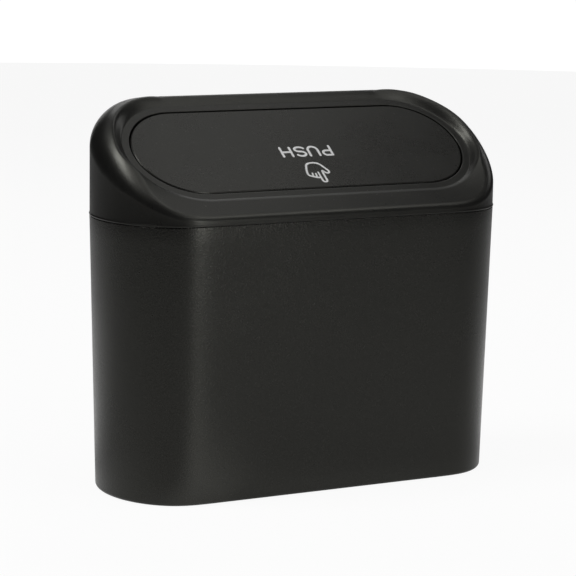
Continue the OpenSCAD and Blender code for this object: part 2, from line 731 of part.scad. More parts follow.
bin_body();
lid_ring();
flap();
mirror([1, 0, 0]) hinge_pin();  // hinge_pin_left
hinge_pin();  // hinge_pin_right
mirror([1, 0, 0]) hinge_spring();  // hinge_spring_left
hinge_spring();  // hinge_spring_right
striker();
mirror([1, 0, 0]) striker_screw();  // striker_screw_left
striker_screw();  // striker_screw_right
latch_housing();
latch_cover();
latch_slider();
latch_spring();
latch_follower();
mirror([1, 0, 0]) latch_screw();  // latch_screw_left
latch_screw();  // latch_screw_right
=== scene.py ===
# %% [markdown]
# # A push-to-open bin for a car, dressed for its portrait
# The bin is a slim black cup with rounded ends. A slanted ring is pressed into its rim, and a flush flap
# fills the ring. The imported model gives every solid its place. The solids have flat facets where the real
# mouldings are smooth, so this lesson works the cup and the ring out again as fine surfaces, prints the mark
# on the flap, paints every piece with a procedural finish, and sets up the floor, the lamps and the camera.

# %% Load the frame
import math
import bpy
import numpy as np
from mathutils import Matrix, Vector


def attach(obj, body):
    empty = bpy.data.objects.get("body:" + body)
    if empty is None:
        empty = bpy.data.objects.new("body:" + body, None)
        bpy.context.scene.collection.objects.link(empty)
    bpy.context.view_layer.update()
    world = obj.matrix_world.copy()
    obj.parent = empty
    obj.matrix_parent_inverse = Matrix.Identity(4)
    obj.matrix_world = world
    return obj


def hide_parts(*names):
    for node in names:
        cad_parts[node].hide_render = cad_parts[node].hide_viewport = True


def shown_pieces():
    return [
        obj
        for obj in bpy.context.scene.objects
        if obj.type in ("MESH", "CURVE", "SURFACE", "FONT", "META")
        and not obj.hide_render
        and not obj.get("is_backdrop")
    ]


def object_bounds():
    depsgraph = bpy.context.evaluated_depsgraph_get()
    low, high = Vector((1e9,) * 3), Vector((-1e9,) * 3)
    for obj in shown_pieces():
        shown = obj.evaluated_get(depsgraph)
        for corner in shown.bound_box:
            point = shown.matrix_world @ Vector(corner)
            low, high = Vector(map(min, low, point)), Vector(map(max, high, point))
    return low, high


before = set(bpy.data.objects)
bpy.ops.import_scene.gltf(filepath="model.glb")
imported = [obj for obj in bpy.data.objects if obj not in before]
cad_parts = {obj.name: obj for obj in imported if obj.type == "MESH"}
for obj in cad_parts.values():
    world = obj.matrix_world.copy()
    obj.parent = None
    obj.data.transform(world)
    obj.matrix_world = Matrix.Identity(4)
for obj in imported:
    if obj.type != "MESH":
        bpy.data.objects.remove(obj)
cad_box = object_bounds()
MM = 0.001

# %% [markdown]
# ## The camera
# The picture is taken from the front left and a little above, with a long lens that keeps the walls nearly
# parallel. A camera is three directions and a place: it looks along `ahead`, and `right` and `up` are turned
# a little about that line, because the hand that held the real camera wasn't quite level. The small shift
# places the bin in the square picture without turning the camera.

# %% Place the camera
picture = 576
focal_pixels = 2441.9
aim = np.array([0, 0, 69.4]) * MM
distance = 1060.6 * MM
yaw, pitch, roll = np.radians([28.546, 10.146, 0.921])
middle = np.array([5.77, 29.18])

ahead = np.array([math.sin(yaw) * math.cos(pitch), math.cos(yaw) * math.cos(pitch), -math.sin(pitch)])
level_right = np.array([math.cos(yaw), -math.sin(yaw), 0])
level_up = np.cross(level_right, ahead)
right = math.cos(roll) * level_right + math.sin(roll) * level_up
up = -math.sin(roll) * level_right + math.cos(roll) * level_up
camera = bpy.data.objects.new("camera", bpy.data.cameras.new("camera"))
camera.data.sensor_width = 36
camera.data.lens = camera.data.sensor_width * focal_pixels / picture
camera.data.shift_x = -middle[0] / picture
camera.data.shift_y = middle[1] / picture
camera.data.clip_start = 0.05
place = np.eye(4)
place[:3, 0], place[:3, 1], place[:3, 2], place[:3, 3] = right, up, -ahead, aim - ahead * distance
camera.matrix_world = Matrix(place.tolist())
bpy.context.scene.collection.objects.link(camera)
bpy.context.scene.camera = camera
print("camera at", np.round(place[:3, 3], 3), "lens", round(camera.data.lens, 1), "mm")

# %% [markdown]
# ## From arrays to meshes
# Every moulding here is a *loft*: a stack of closed rings with the same number of points, joined by quads.
# A stack that returns to its first ring closes on itself, as a tube bent into a hoop does. Any other stack
# gets a cap at each end. Whole index arrays make all the quads at once. The sign of the enclosed volume
# tells whether the faces point outwards, so a loft that comes out inverted is turned over before it is
# stored.

# %% Helpers that put a loft into a mesh
def loft_faces(rings, points, loop):
    """Quads between ring j and ring j + 1, and between point i and point i + 1, both counted round."""
    j, i = np.meshgrid(np.arange(rings if loop else rings - 1), np.arange(points), indexing="ij")
    a, b = j * points + i, j * points + (i + 1) % points
    up_one = ((j + 1) % rings) * points
    return np.stack([a, b, up_one + (i + 1) % points, up_one + i], axis=-1).reshape(-1, 4)


def volume_of(points, quads):
    """Enclosed volume: the sum over triangles of corner 1 dot (corner 2 cross corner 3), over six."""
    tris = np.vstack([quads[:, [0, 1, 2]], quads[:, [0, 2, 3]]])
    a, b, c = (points[tris[:, k]] for k in range(3))
    return float(np.einsum("ij,ij->i", a, np.cross(b, c)).sum() / 6)


def loft(stack, loop=False):
    """Vertices and faces of one loft. stack is rings x points x 3, in millimetres."""
    rings, points = stack.shape[:2]
    flat = stack.reshape(-1, 3)
    quads = loft_faces(rings, points, loop)
    faces = quads.tolist()
    if not loop:
        faces += [list(range(points))[::-1], list(range((rings - 1) * points, rings * points))]
    inside = flat - flat.mean(axis=0)
    if volume_of(inside, quads) < 0:
        faces = [f[::-1] for f in faces]
    return flat, faces


sharp_angle = math.radians(40)


def make_piece(name, parts, body, stands_for=()):
    """One object from several (vertices, faces) parts in millimetres, smooth except at sharp corners."""
    start, points, faces = 0, [], []
    for flat, part_faces in parts:
        points.append(flat)
        faces += [[start + k for k in f] for f in part_faces]
        start += len(flat)
    mesh = bpy.data.meshes.new(name)
    mesh.from_pydata((np.vstack(points) * MM).tolist(), [], faces)
    mesh.shade_smooth()
    mesh.set_sharp_from_angle(angle=sharp_angle)
    mesh.validate()
    piece = bpy.data.objects.new(name, mesh)
    bpy.context.scene.collection.objects.link(piece)
    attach(piece, body)
    if stands_for:
        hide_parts(*stands_for)
    print(name, len(mesh.vertices), "vertices", len(mesh.polygons), "faces")


# %% [markdown]
# ## The outline that both mouldings share
# Seen from above, the bin is two straight runs joined by two half ellipses. One walk round it is a row of
# *stations*. Each has a share `run` of the straight length, and the cosine and sine of its direction, so a
# single formula serves straight and round parts alike. The same walk serves the opening in the lid, which is
# a round-ended slot in a slanted plane. The real walls pass gently from run to end. So every station takes
# the weighted mean of the outline near it, and the direction outwards is square to that softened walk.

# %% Sizes in millimetres and the walk round the outline
bin_length, bin_depth, end_reach = 185.0, 75.4, 30.2
seam_height, wall_draft, bin_wall, bin_floor = 117.0, 1.3, 2.0, 2.2
foot_round, foot_rim, foot_hollow, inner_round = 1.6, 4.0, 0.8, 4.0
seam_round, overhang = 0.5, 0.2
half_depth = bin_depth / 2
half_run = bin_length / 2 - end_reach

end_steps, run_steps = 72, 48
turn = np.radians(np.linspace(-90, 90, end_steps + 1))
along = np.linspace(1, -1, run_steps + 1)[1:-1]
run = np.concatenate([np.ones(end_steps + 1), along, -np.ones(end_steps + 1), -along])
cosine = np.concatenate([np.cos(turn), 0 * along, -np.cos(turn), 0 * along])
sine = np.concatenate([np.sin(turn), 0 * along + 1, -np.sin(turn), 0 * along - 1])
corners = np.stack([run * half_run + end_reach * cosine, half_depth * sine], axis=1)
steps = np.linalg.norm(np.roll(corners, -1, axis=0) - corners, axis=1)
walked = np.concatenate([[0], np.cumsum(steps)])


def walk(shift):
    """Points of the plain outline, each moved on along it by shift millimetres."""
    at = (walked[:-1] + shift) % walked[-1]
    return np.stack([np.interp(at, walked, np.append(corners[:, k], corners[0, k])) for k in (0, 1)], axis=1)


soft_reach, soft_samples, half_stride = 14.0, 37, 0.5
shifts = np.linspace(-soft_reach, soft_reach, soft_samples)
weights = 1 + np.cos(np.pi * shifts / soft_reach)
weights /= weights.sum()
rim = sum(w * walk(d) for w, d in zip(weights, shifts))
rim *= np.array([bin_length / 2, half_depth]) / np.abs(rim).max(axis=0)
ahead_on_rim = sum(w * (walk(d + half_stride) - walk(d - half_stride)) for w, d in zip(weights, shifts))
outward = np.stack([ahead_on_rim[:, 1], -ahead_on_rim[:, 0]], axis=1)
outward /= np.linalg.norm(outward, axis=1)[:, None]


def outline(inset):
    """Points of the outline moved in by inset: station point minus outward direction times inset."""
    return rim - outward * np.asarray(inset, float).reshape(-1, 1)


def at_height(plan, z):
    """Plan points lifted to height z, one number or one per station."""
    return np.column_stack([plan, np.broadcast_to(z, len(plan))])


softening = np.linalg.norm(rim - corners, axis=1).max()
print("stations round the outline:", len(run), "largest softening", round(float(softening), 2), "mm")

# %% [markdown]
# ## The bin
# The real cup is one injection moulding. Its walls lean in a little towards the base so that it leaves the
# mould, its floor is raised inside a standing rim, and its lower edge is rounded. It could be a box with
# bevels, but a loft of insets follows the draft exactly: each ring is the outline moved in by the lean at
# its height. Shallow pockets near the top of the inner wall take the ring's snap beads: there, the wall is
# pushed out to the surface of a short cylinder, and the rings lie closer together.

# %% Loft the bin
lean = math.tan(math.radians(wall_draft))
floor_top = foot_hollow + bin_floor
bead_radius, bead_rise, bead_room, bead_length = 0.9, 0.55, 0.3, 12.0
bead_above_edge = 1.2
skirt_depth, skirt_wall, skirt_clear = 7.0, 1.7, 0.45
skirt_out = bin_wall + skirt_clear
skirt_in = skirt_out + skirt_wall
bead_y = half_depth - skirt_out + bead_rise - bead_radius
bead_z = seam_height - skirt_depth + bead_radius + bead_above_edge
bead_x = half_run - bead_length
straight_enough = 1e-9


def leaned(z):
    """How far the lean has brought the wall in at height z."""
    return lean * (seam_height - z)


def pocketed(ring):
    """A ring of the inner wall, pushed out to the pocket cylinders where they reach past it."""
    radius = bead_radius + bead_room
    height = radius ** 2 - (ring[:, 2] - bead_z) ** 2
    beside = np.abs(np.abs(ring[:, 0]) - bead_x) < bead_length / 2 + bead_room
    depth = bead_y + np.sqrt(np.maximum(height, 0))
    on_run = np.abs(cosine) < straight_enough
    deeper = beside & (height > 0) & (np.abs(ring[:, 1]) < depth) & on_run
    out = ring.copy()
    out[deeper, 1] = np.sign(ring[deeper, 1]) * depth[deeper]
    return out


quarter = np.radians(np.linspace(0, 90, 9))
inner_low = floor_top + inner_round
fine_band, coarse_from = 1.5, 2.0
top_steps, pocket_steps, wall_steps, outer_steps = 4, 16, 10, 16
rings = [at_height(outline(leaned(0) + foot_rim + foot_hollow), foot_hollow),
         at_height(outline(leaned(0) + foot_rim), 0)]
for a in quarter:
    rise = foot_round * (1 - math.cos(a))
    rings.append(at_height(outline(leaned(rise) + foot_round * (1 - math.sin(a))), rise))
for z in np.linspace(foot_round, seam_height - seam_round, outer_steps)[1:-1]:
    rings.append(at_height(outline(leaned(z)), z))
for a in quarter:
    inset = seam_round * (1 - math.cos(a))
    rings.append(at_height(outline(inset), seam_height - seam_round * (1 - math.sin(a))))
inner_heights = np.concatenate([np.linspace(seam_height, bead_z + coarse_from, top_steps),
                                np.linspace(bead_z + fine_band, bead_z - fine_band, pocket_steps),
                                np.linspace(bead_z - coarse_from, inner_low, wall_steps)])
for z in inner_heights:
    rings.append(pocketed(at_height(outline(leaned(z) + bin_wall), z)))
for a in quarter[1:]:
    z = floor_top + inner_round * (1 - math.sin(a))
    inset = leaned(z) + bin_wall + inner_round * (1 - math.cos(a))
    rings.append(at_height(outline(inset), z))
make_piece("bin_shell", [loft(np.array(rings))], "bin", stands_for=["bin_body"])

# %% [markdown]
# ## The lid ring
# The ring rises from the seam, rolls over a wide shoulder, falls by a soft step to a flat lip, and turns down
# into a collar round the flap. At the low front the shoulder is tight and nearly level with the lip, at the
# ends it is wide and stands proud of the lip, and along the back it runs into the lip with only a low step.
# Sculpting could make such a shape, but only a few sizes of its section change on the way round: the
# shoulder's radius, the crest's height and the step's reach. One section formula, swept round the stations,
# keeps it smooth all the way. First comes the slanted plane that holds the lip and the flap, and then the
# rule by which a size changes on its way round.

# %% Work out the slanted plane of the lid
lid_slant, front_rise = math.radians(34.7), 3.2
front_border, back_border, end_border = 12.4, 19.9, 13.8
lid_wall, lip_width, lip_round = 2.0, 3.2, 0.25
collar_depth, collar_wall = 3.4, 1.6
slope, level = math.sin(lid_slant), math.cos(lid_slant)
lid_y = (front_border - back_border) / 2
lid_z = seam_height + front_rise + slope / level * (lid_y + half_depth)
open_half = (bin_depth - front_border - back_border) / 2 / level
open_run = bin_length / 2 - end_border - open_half
face = np.array([0, -slope, level])


def slanted(x, v, w):
    """A point in the slanted plane's own terms: x along, v up the slope, w out of the face."""
    x, v, w = np.broadcast_arrays(*(np.asarray(k, float) for k in (x, v, w)))
    return np.stack([x, lid_y + v * level - w * slope, lid_z + v * slope + w * level], axis=-1)


def lip(s, w):
    """Station points beside the opening: s outwards from its edge, w out of the face."""
    return slanted(run * open_run + (open_half + s) * cosine, (open_half + s) * sine, w)


def ease(t):
    """Smooth step from 0 to 1: three t squared minus two t cubed."""
    return t * t * (3 - 2 * t)


def around(front, end, back, leaves=0.15, arrives=0.88):
    """A size that runs smoothly from the front over the ends to the back.

    It leaves its end value and arrives at its back value at these shares of the way from the middle of the
    end to the back, and follows the smooth step between them.
    """
    u = outline(-overhang)[:, 1] / (half_depth + overhang)
    late = np.clip((u - leaves) / (arrives - leaves), 0, 1)
    return np.where(u < 0, front + (end - front) * ease(1 + u), end + (back - end) * ease(late))


print("opening half height", round(open_half, 2), "half run", round(open_run, 2))

# %% [markdown]
# ## The shoulder and the step
# The shoulder is an arc round a centre below the crest. It starts square to the wall and turns towards the
# direction square to the slanted plane. The step is a cubic curve from the lip up to the arc. The arc ends
# where it stands over the step's outer edge, and that share of it is found for all stations at once by
# halving an interval. The curve's far handle lies along the arc's own direction there, so that no crease
# shows where they meet.

# %% Measure the shoulder and the step
def toward(a, b, t):
    """Direction a share t of the way from unit vector a to unit vector b along the great circle."""
    w = np.arccos(np.clip((a * b).sum(axis=-1), -1, 1))[..., None]
    t = np.asarray(t)[..., None]
    return (np.sin((1 - t) * w) * a + np.sin(t * w) * b) / np.sin(w)


# Values in millimetres for the front, the end and the back, then where the change to the back runs.
shoulder = around(4.0, 12.5, 13.2)
crest = around(0.35, 5.0, 3.55, 0.3, 1.0)
reach = around(2.2, 4.9, 6.6, 0.2, 1.0)
head = reach * around(0.42, 0.42, 0.24, 0.2, 1.0)
foot_share, halvings = 0.2, 20
foot = reach * foot_share
side = at_height(outward, 0)
hem_back, hem_low, hem_high = 0.25, 0.5, 1.2
edge_line = outline(hem_back - overhang)
centre_plan = edge_line - outward * shoulder[:, None]
centre_z = lid_z + slope / level * (centre_plan[:, 1] - lid_y) + (crest - shoulder) / level
centre = at_height(centre_plan, centre_z)
step_top = lip(lip_width + reach, 0)
off_opening = lip(1, 0) - lip(0, 0)


def over(t):
    """Station points on the shoulder arc, a share t of the way from the wall to the face's direction."""
    return centre + shoulder[:, None] * toward(side, face, t)


def beyond_step(t):
    """Whether the arc at share t lies outside the step's outer edge, seen along the slanted plane."""
    return ((over(t) - step_top) * off_opening).sum(axis=1) > 0


low, high = np.zeros(len(run)), np.ones(len(run))
for _ in range(halvings):
    half = (low + high) / 2
    outside = beyond_step(half)
    low, high = np.where(outside, half, low), np.where(outside, high, half)
end_share = np.where(beyond_step(np.ones(len(run))), 1.0, high)
ridge = (over(end_share) - step_top) @ face

arc_angle = np.arccos(np.clip(side @ face, -1, 1))
to_face, to_side = np.cos(end_share * arc_angle), np.cos((1 - end_share) * arc_angle)
on_arc = to_face[:, None] * face - to_side[:, None] * side
crown = ridge - head * (on_arc @ face) / (on_arc * off_opening).sum(axis=1)
print("step over the lip:", round(float(ridge.min()), 2), "to", round(float(ridge.max()), 2), "mm")

# %% [markdown]
# ## The section of the ring
# The section starts at the seam with a small rounded hem, as moulded edges have. It goes over the shoulder,
# the step, the flat lip and the collar, and returns inside, under the shoulder and down to the skirt that
# enters the cup. So the loft closes on itself.

# %% Sweep the section round the stations
def bezier(near, far, end, t):
    """A cubic curve from 0 to end: 3t(1-t)^2 near + 3t^2(1-t) far + t^3 end."""
    return 3 * t * (1 - t) ** 2 * near + 3 * t * t * (1 - t) * far + t ** 3 * end


hem_steps, arc_steps, step_steps, lip_steps, inner_steps = 7, 29, 25, 7, 13
arc_start, least_radius, web_rise, web_clear, skirt_rise = 0.02, 0.3, 3, 0.1, 1
section = []
for a in quarter:
    section.append(at_height(outline(hem_low * (1 - math.sin(a)) - overhang),
                             seam_height + hem_low * (1 - math.cos(a))))
for t in np.linspace(0, 1, hem_steps)[1:]:
    section.append(at_height(outline(hem_back * ease(t) - overhang),
                             seam_height + hem_low + (hem_high - hem_low) * t))
section += [over(end_share * t) for t in np.linspace(arc_start, 1, arc_steps)[:-1]]
section += [lip(lip_width + bezier(foot, reach - head, reach, t), bezier(0, crown, ridge, t))
            for t in np.linspace(1, 0, step_steps)]
section += [lip(s, 0) for s in np.linspace(lip_width, lip_round, lip_steps)[1:]]
section += [lip(lip_round * (1 - math.sin(a)), -lip_round * (1 - math.cos(a))) for a in quarter[2::2]]
section += [lip(0, -collar_depth), lip(collar_wall, -collar_depth),
            lip(collar_wall, -lid_wall), lip(lip_width, -lid_wall)]
inner_radius = np.maximum(shoulder - lid_wall, least_radius)
for t in np.linspace(1, 0, inner_steps):
    section.append(centre + inner_radius[:, None] * toward(side, face, end_share * t))
web = np.minimum(seam_height + web_rise, centre_z - web_clear)
skirt_foot = seam_height - skirt_depth
section += [at_height(outline(lid_wall - overhang), web),
            at_height(outline(skirt_in), seam_height + skirt_rise), at_height(outline(skirt_in), skirt_foot),
            at_height(outline(skirt_out), skirt_foot), at_height(outline(skirt_out), seam_height)]
make_piece("ring_skin", [loft(np.array(section), loop=True)], "bin", stands_for=["lid_ring"])

# %% [markdown]
# ## Inside the ring: lugs, bracket and snap beads
# Four lugs hold the hinge pins, a bracket behind the front lip carries the latch, and four beads on the
# skirt snap into the cup. They are part of the same moulding. A lug is a plate with a hole: its outline is a
# distance from the pin for every angle, so an outer loop and a hole loop at each face make one closed hoop.

# %% Make the lugs, the bracket and the beads
flap_gap, axis_back, axis_drop = 0.7, 7.8, 3.1
flap_half = open_half - flap_gap
axis_v = flap_half + axis_back
lug_radius, lug_half, lug_wide, lug_sink = 2.3, 1.2, 3.0, 0.6
pin_radius, pin_room = 0.9, 0.02
lug_rise = axis_drop - lug_sink
spin = np.linspace(0, 2 * np.pi, 97)[:-1]
tiny = 1e-6


def lug(x):
    """A lug from x outwards: its outline is a radius for every angle, round below and a narrow web above.

    The web's radius is the smaller of half its width over the cosine and its height over the sine.
    """
    over_cosine = lug_half / np.maximum(np.abs(np.cos(spin)), tiny)
    over_sine = lug_rise / np.maximum(np.sin(spin), tiny)
    web_radius = np.minimum(over_cosine, over_sine)
    rim_radius = np.where(np.sin(spin) > 0, np.maximum(lug_radius, web_radius), lug_radius)
    hole = np.full_like(spin, pin_radius + pin_room)
    loops = [(rim_radius, x), (rim_radius, x + lug_wide), (hole, x + lug_wide), (hole, x)]
    return loft(np.array([slanted(at, axis_v + r * np.cos(spin), -axis_drop + r * np.sin(spin))
                          for r, at in loops]), loop=True)


def block(x0, x1, v0, v1, w0, w1, chamfer=0.25):
    """A moulded block in the slanted frame, its corners cut by a small chamfer so that they catch light."""
    c = chamfer
    plan = np.array([[x0 + c, v0], [x1 - c, v0], [x1, v0 + c], [x1, v1 - c],
                     [x1 - c, v1], [x0 + c, v1], [x0, v1 - c], [x0, v0 + c]])
    mid = np.array([(x0 + x1) / 2, (v0 + v1) / 2])
    small = mid + (plan - mid) * (1 - 2 * c / np.array([x1 - x0, v1 - v0]))
    layers = ((small, w0), (plan, w0 + c), (plan, w1 - c), (small, w1))
    return loft(np.array([slanted(q[:, 0], q[:, 1], w) for q, w in layers]))


hinge_x, arm_wide, side_gap, coil_space = 29.0, 3.0, 0.4, 6.0
inner_lug = hinge_x - arm_wide / 2 - side_gap - lug_wide
outer_lug = hinge_x + arm_wide / 2 + coil_space + 2 * side_gap
lugs = [lug(x) for x in (inner_lug, outer_lug, -inner_lug - lug_wide, -outer_lug - lug_wide)]
make_piece("hinge_lugs", lugs, "bin")

latch_top, latch_base = -8.2, -26.7
bracket_half, bracket_wall, bracket_inset, bracket_clear, below_latch_mid = 13, 2.4, 0.8, 0.8, 4.1
neck_half, neck_out, neck_in, neck_top, neck_chamfer = 12.7, 1.5, 0.15, -1.0, 0.05
flap_wall, flap_press = 1.9, math.radians(1.5)
bracket_v = -(open_half - bracket_inset)
bracket_top = -(flap_wall + (flap_half + axis_v) * math.sin(flap_press) + bracket_clear)
bracket_base = (latch_top + latch_base) / 2 - below_latch_mid
plate = block(-bracket_half, bracket_half, bracket_v - bracket_wall, bracket_v, bracket_base, bracket_top)
neck = block(-neck_half, neck_half, -open_half - neck_out, -open_half - neck_in,
             bracket_top - neck_out, neck_top, neck_chamfer)
make_piece("latch_bracket", [plate, neck], "bin")

round_over, least_square = 1, 0.0025
bead_circle = np.linspace(0, 2 * np.pi, 25)[:-1]


def bead(x, y):
    """A snap bead: a capsule along X, its radius a circle's height over the last millimetre at each end."""
    s = np.concatenate([np.linspace(0, round_over, 7), np.linspace(bead_length - round_over, bead_length, 7)])
    fall = np.maximum(np.maximum(round_over - s, s - (bead_length - round_over)), 0)
    r = bead_radius * np.sqrt(np.maximum(1 - fall ** 2, least_square))
    xs = np.broadcast_to((x - bead_length / 2 + s)[:, None], (len(s), len(bead_circle)))
    ys = y + r[:, None] * np.cos(bead_circle)
    zs = bead_z + r[:, None] * np.sin(bead_circle)
    return loft(np.stack([xs, ys, zs], axis=-1))


make_piece("snap_beads", [bead(sx * bead_x, sy * bead_y) for sx in (-1, 1) for sy in (-1, 1)], "bin")

# %% [markdown]
# ## The mark on the flap
# A white word and a pointing hand are printed on the flap by pad printing, so that a driver who leans over
# from behind reads them upright and sees where to press. The ink is a film a few hundredths of a millimetre
# thick. A picture on the surface would do, but drawn strokes stay sharp from near, so each stroke is a ribbon
# of constant width along a path, with round ends, and is sunk a little into the plastic. Each ribbon lies a
# hair higher than the one before, so that no two tops share a plane where strokes cross.

# %% Draw the strokes
ink_rise, ink_sink, ink_layer, pen_half = 0.03, 0.15, 0.002, 0.56
mark_x, mark_v = 1.7, 0.3
cap_angles, least_mitre = np.radians([84, 65, 45, 25]), 0.5
hand_width, crease_width = 0.85, 0.7


def arc(a, b, wide, high, start, stop, steps=14):
    """Part of an ellipse round (a, b), angles in degrees."""
    t = np.radians(np.linspace(start, stop, steps))
    return np.stack([a + wide * np.cos(t), b + high * np.sin(t)], axis=1)


def softened(path, rounds=2):
    """Cut a closed path's corners: each side gives the points a quarter and three quarters along it."""
    for _ in range(rounds):
        after = np.roll(path, -1, axis=0)
        path = np.stack([0.75 * path + 0.25 * after, 0.25 * path + 0.75 * after], axis=1).reshape(-1, 2)
    return path


def ribbon(path, number, closed=False, width=1.0):
    """A stroke: the path moved to both sides by pen_half times width, less at open ends, as on a circle."""
    half = np.full(len(path), pen_half * width)
    if not closed:
        lead = (path[0] - path[1]) / np.linalg.norm(path[0] - path[1])
        tail = (path[-1] - path[-2]) / np.linalg.norm(path[-1] - path[-2])
        a = cap_angles
        path = np.vstack([path[0] + lead * half[0] * np.sin(a)[:, None], path,
                          path[-1] + tail * half[0] * np.sin(a[::-1])[:, None]])
        half = np.concatenate([half[0] * np.cos(a), half, half[0] * np.cos(a[::-1])])
    before, after = np.roll(path, 1, axis=0), np.roll(path, -1, axis=0)
    if not closed:
        before[0], after[-1] = 2 * path[0] - path[1], 2 * path[-1] - path[-2]
    into = (path - before) / np.linalg.norm(path - before, axis=1)[:, None]
    out_of = (after - path) / np.linalg.norm(after - path, axis=1)[:, None]
    normal = np.stack([-(into + out_of)[:, 1], (into + out_of)[:, 0]], axis=1)
    square_to_path = (np.stack([-into[:, 1], into[:, 0]], axis=1) * normal).sum(axis=1)
    normal /= np.maximum(square_to_path, least_mitre)[:, None]
    left, right_side = path + normal * half[:, None], path - normal * half[:, None]
    top = ink_rise + ink_layer * number
    corners_of = [(left, top), (right_side, top), (right_side, -ink_sink), (left, -ink_sink)]
    stack = np.stack([slanted(mark_x - q[:, 0], mark_v - q[:, 1], w) for q, w in corners_of], axis=1)
    return loft(stack, loop=closed)


# The upright and the bowl of the first letter, the second letter, the third, and three strokes of the fourth.
strokes = [np.array([[-11.8, 0.0], [-11.8, 5.7]]),
           np.vstack([[[-11.8, 5.7]], arc(-9.3, 4.25, 1.6, 1.45, 90, -90), [[-11.8, 2.8]]]),
           np.vstack([[[-5.6, 5.7]], arc(-3.3, 2.25, 2.3, 2.25, 180, 360), [[-1.0, 5.7]]]),
           np.vstack([arc(3.0, 4.25, 2.15, 1.45, 25, 270), arc(3.0, 1.4, 2.3, 1.4, 90, -155)[1:]]),
           np.array([[7.5, 0.0], [7.5, 5.7]]), np.array([[12.0, 0.0], [12.0, 5.7]]),
           np.array([[7.5, 2.9], [12.0, 2.9]])]
hand = np.vstack([[[-2.0, 10.3], [3.5, 10.3], [5.2, 14.4], [5.8, 17.9], [4.4, 18.7], [2.9, 19.3], [1.5, 19.8],
                   [0.3, 19.6], [0.3, 21.0]], arc(-0.75, 21.6, 1.05, 1.0, 0, 180, 7),
                  [[-1.8, 20.0], [-1.8, 15.0], [-3.2, 17.0], [-4.6, 17.2], [-5.2, 16.0], [-4.4, 14.6]]])
creases = [np.array([[0.3, 19.6], [0.3, 16.4]]), np.array([[2.0, 19.4], [1.8, 17.2]]),
           np.array([[3.6, 18.9], [3.3, 16.9]])]
ribbons = [ribbon(path, k) for k, path in enumerate(strokes)]
ribbons.append(ribbon(softened(hand), len(ribbons), closed=True, width=hand_width))
ribbons += [ribbon(path, len(ribbons) + k, width=crease_width) for k, path in enumerate(creases)]
make_piece("push_mark", ribbons, "flap")

# %% [markdown]
# ## Effects that the finishes share
# A moulded surface isn't one colour. The tool's etched grain prints fine cells all over it, handling polishes
# it in soft patches, edges rub lighter, and a little dust settles on what faces up. Each effect is a node
# group that puts out masks or a normal, so every finish below mixes the same few effects in its own amounts.
# The groups read the object's own coordinates, so the grain stays put when a piece moves.

# %% Helpers for node trees
def add(tree, kind, values=(), **settings):
    """A node with its settings, and with default values for the inputs named in values."""
    node = tree.nodes.new(kind)
    for key, value in settings.items():
        setattr(node, key, value)
    for key, value in dict(values).items():
        node.inputs[key].default_value = value
    return node


def group(name, takes, gives):
    """An empty node group: takes lists its float inputs with defaults, gives its outputs with kinds."""
    tree = bpy.data.node_groups.new(name, "ShaderNodeTree")
    for label, value in takes.items():
        tree.interface.new_socket(label, in_out="INPUT", socket_type="NodeSocketFloat").default_value = value
    for label, kind in gives.items():
        tree.interface.new_socket(label, in_out="OUTPUT", socket_type=kind)
    return tree, tree.nodes.new("NodeGroupInput"), tree.nodes.new("NodeGroupOutput")


def spread(tree, value, low, high, to_low=0.0, to_high=1.0):
    """Map value from low..high to to_low..to_high, clamped, and return the result's socket."""
    node = add(tree, "ShaderNodeMapRange", {1: low, 2: high, 3: to_low, 4: to_high})
    tree.links.new(value, node.inputs[0])
    return node.outputs[0]


def arithmetic(tree, operation, a, b):
    """One Math node on two sockets or numbers."""
    node = add(tree, "ShaderNodeMath", operation=operation)
    for k, value in enumerate((a, b)):
        if hasattr(value, "links"):
            tree.links.new(value, node.inputs[k])
        else:
            node.inputs[k].default_value = value
    return node.outputs[0]


def vector_math(tree, operation, vector, values=()):
    """One Vector Math node on a socket, with values for its other inputs."""
    node = add(tree, "ShaderNodeVectorMath", values, operation=operation)
    tree.links.new(vector, node.inputs[0])
    return node


def in_cells(tree, cell):
    """Object coordinates counted in cells: metres divided by the cell's size in millimetres."""
    where = tree.nodes.new("ShaderNodeTexCoord").outputs["Object"]
    node = vector_math(tree, "SCALE", where)
    tree.links.new(arithmetic(tree, "DIVIDE", 1 / MM, cell), node.inputs["Scale"])
    return node.outputs[0]


# %% [markdown]
# ## The etched grain
# The mould's steel is etched, so the skin carries rounded cells of about half a millimetre. The distance to
# the nearest cell's middle gives the cells, and a cloud of noise makes them uneven. Their sum is the relief.
# It drives the bump, whose depth is a share of the cell's size, and it is put out as a mask for the colour
# and the roughness.

# %% Group for the etched grain
FLOAT, VECTOR = "NodeSocketFloat", "NodeSocketVector"
cell_share, relief_band = 0.7, (0.55, 1.15)
grain, take, give = group("moulded_grain", {"Cell": 0.6, "Depth": 0.2}, {"Normal": VECTOR, "Relief": FLOAT})
place_in = in_cells(grain, take.outputs["Cell"])
cells = add(grain, "ShaderNodeTexVoronoi", {"Scale": 1.0, "Randomness": 1.0}, feature="SMOOTH_F1")
cloud = add(grain, "ShaderNodeTexNoise", {"Scale": 0.9, "Detail": 3.0, "Roughness": 0.62})
for node in (cells, cloud):
    grain.links.new(place_in, node.inputs["Vector"])
relief = arithmetic(grain, "MULTIPLY", cells.outputs["Distance"], cell_share)
relief = arithmetic(grain, "ADD", relief, cloud.outputs["Fac"])
bump = add(grain, "ShaderNodeBump", {"Strength": 1.0})
grain.links.new(relief, bump.inputs["Height"])
depth = arithmetic(grain, "MULTIPLY", take.outputs["Depth"], take.outputs["Cell"])
grain.links.new(arithmetic(grain, "MULTIPLY", depth, MM), bump.inputs["Distance"])
grain.links.new(bump.outputs["Normal"], give.inputs["Normal"])
grain.links.new(spread(grain, relief, *relief_band), give.inputs["Relief"])
print("grain group with", len(grain.nodes), "nodes")

